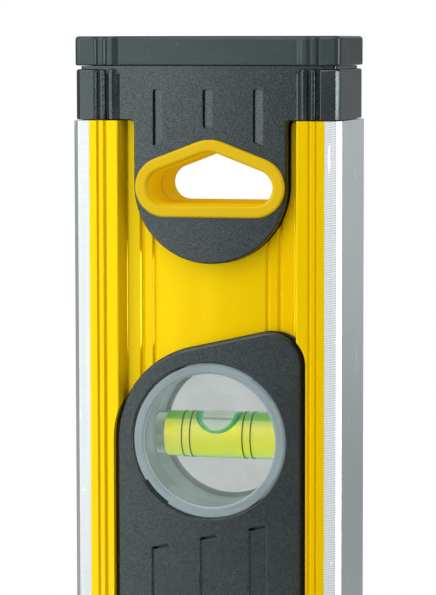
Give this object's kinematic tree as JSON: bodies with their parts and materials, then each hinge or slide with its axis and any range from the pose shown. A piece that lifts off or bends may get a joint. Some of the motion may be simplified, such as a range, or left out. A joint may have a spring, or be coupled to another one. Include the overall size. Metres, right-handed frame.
{
  "type": "spirit level",
  "caption": "Box-beam spirit level with milled edges, a vial near each end, a vial in the middle and a hang hole in each end cap.",
  "frame": {"origin": "centre of the lower end, on the face of the lower rubber pad", "axes": "+Z along the length of the level, -Y out of the front face, +X out of the measuring face with the top window"},
  "size_m": [0.06, 0.028, 0.4],
  "materials": {
    "painted_beam": "gloss yellow paint between bare milled faces",
    "end_cap": "fine spark-eroded grain",
    "end_pad": "smooth matte rubber",
    "hang_insert": "satin moulded plastic",
    "vial_cover": "fine spark-eroded grain",
    "clear_housing": "clear acrylic",
    "vial_tube": "clear acrylic",
    "vial_plug": "translucent white plastic",
    "vial_fluid": "clear dyed liquid",
    "gas_bubble": "clear gas"
  },
  "bodies": {
    "beam": {"box_beam": "painted_beam", "top_window": "clear_housing", "upper_plumb_cover_front": "vial_cover", "upper_plumb_cover_rear": "vial_cover", "upper_plumb_housing_front": "clear_housing", "upper_plumb_housing_rear": "clear_housing", "upper_plumb_tube": "vial_tube", "upper_plumb_plug": "vial_plug", "upper_plumb_fluid": "vial_fluid", "lower_plumb_cover_front": "vial_cover", "lower_plumb_cover_rear": "vial_cover", "lower_plumb_housing_front": "clear_housing", "lower_plumb_housing_rear": "clear_housing", "lower_plumb_tube": "vial_tube", "lower_plumb_plug": "vial_plug", "lower_plumb_fluid": "vial_fluid", "level_cover_front": "vial_cover", "level_cover_rear": "vial_cover", "level_housing_front": "clear_housing", "level_housing_rear": "clear_housing", "level_tube": "vial_tube", "level_plug": "vial_plug", "level_fluid": "vial_fluid"},
    "upper_end": {"upper_end_cap": "end_cap", "upper_end_pad": "end_pad", "upper_hang_insert_front": "hang_insert", "upper_hang_insert_rear": "hang_insert"},
    "lower_end": {"lower_end_cap": "end_cap", "lower_end_pad": "end_pad", "lower_hang_insert_front": "hang_insert", "lower_hang_insert_rear": "hang_insert"},
    "upper_plumb_bubble": {"upper_plumb_bubble": "gas_bubble"},
    "lower_plumb_bubble": {"lower_plumb_bubble": "gas_bubble"},
    "level_bubble": {"level_bubble": "gas_bubble"}
  },
  "joints": [
    {"name": "upper_end_slide", "type": "slide", "parent": "beam", "child": "upper_end", "axis": [0, 0, 1], "range_m": [0, 0.04]},
    {"name": "lower_end_slide", "type": "slide", "parent": "beam", "child": "lower_end", "axis": [0, 0, -1], "range_m": [0, 0.04]},
    {"name": "upper_bubble_slide", "type": "slide", "parent": "beam", "child": "upper_plumb_bubble", "axis": [1, 0, 0], "range_m": [-0.006, 0.006]},
    {"name": "lower_bubble_slide", "type": "slide", "parent": "beam", "child": "lower_plumb_bubble", "axis": [1, 0, 0], "range_m": [-0.006, 0.006]},
    {"name": "level_bubble_slide", "type": "slide", "parent": "beam", "child": "level_bubble", "axis": [0, 0, -1], "range_m": [0, 0.0248]}
  ]
}
